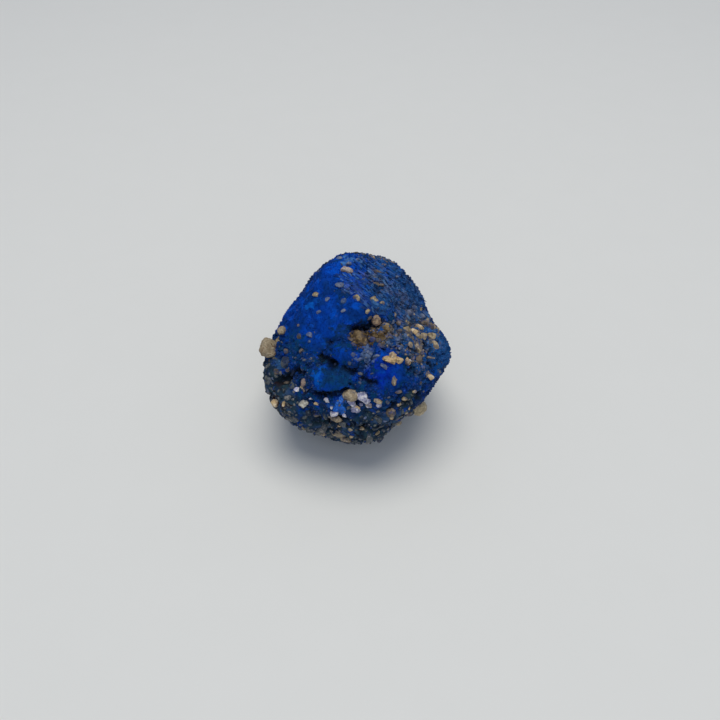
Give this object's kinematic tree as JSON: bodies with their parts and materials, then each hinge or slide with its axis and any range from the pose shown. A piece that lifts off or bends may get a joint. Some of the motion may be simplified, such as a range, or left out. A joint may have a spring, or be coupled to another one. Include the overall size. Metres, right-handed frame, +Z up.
{
  "type": "azurite specimen",
  "caption": "Loose blue azurite nodule, a rounded lump of intergrown crystals holding sand grains, quartz grains and a little sandstone.",
  "frame": {"origin": "centre of the bounding box, on the flat that the nodule rests on", "axes": "+Z up, -Y is the front of the nodule, +X is its right side"},
  "size_m": [0.0238, 0.0254, 0.0238],
  "materials": {
    "azurite": "rough, velvety blue crystal crust with small bright faces",
    "quartz": "translucent beige, waxy",
    "sand": "tan to cream, frosted",
    "sandstone": "brown-ochre, granular, matt"
  },
  "bodies": {
    "root": {"azurite_nodule": "azurite", "left_quartz_grain": "quartz", "left_small_quartz_grain": "quartz", "low_right_quartz_grain": "quartz", "low_right_small_grain": "quartz", "low_right_grey_grain": "quartz", "front_flat_grain": "quartz", "rim_slab_grain": "quartz", "crest_sand_grain": "sand", "brow_sand_grain": "sand", "right_face_sand_grain": "sand", "right_face_small_grain": "sand", "right_flank_sand_grain": "sand", "front_quartz_grain": "sand", "left_front_pink_grain": "sand", "left_front_cream_grain": "sand", "left_low_sand_grain": "sand", "hollow_sandstone": "sandstone", "beside_hollow_sandstone": "sandstone"}
  },
  "joints": []
}
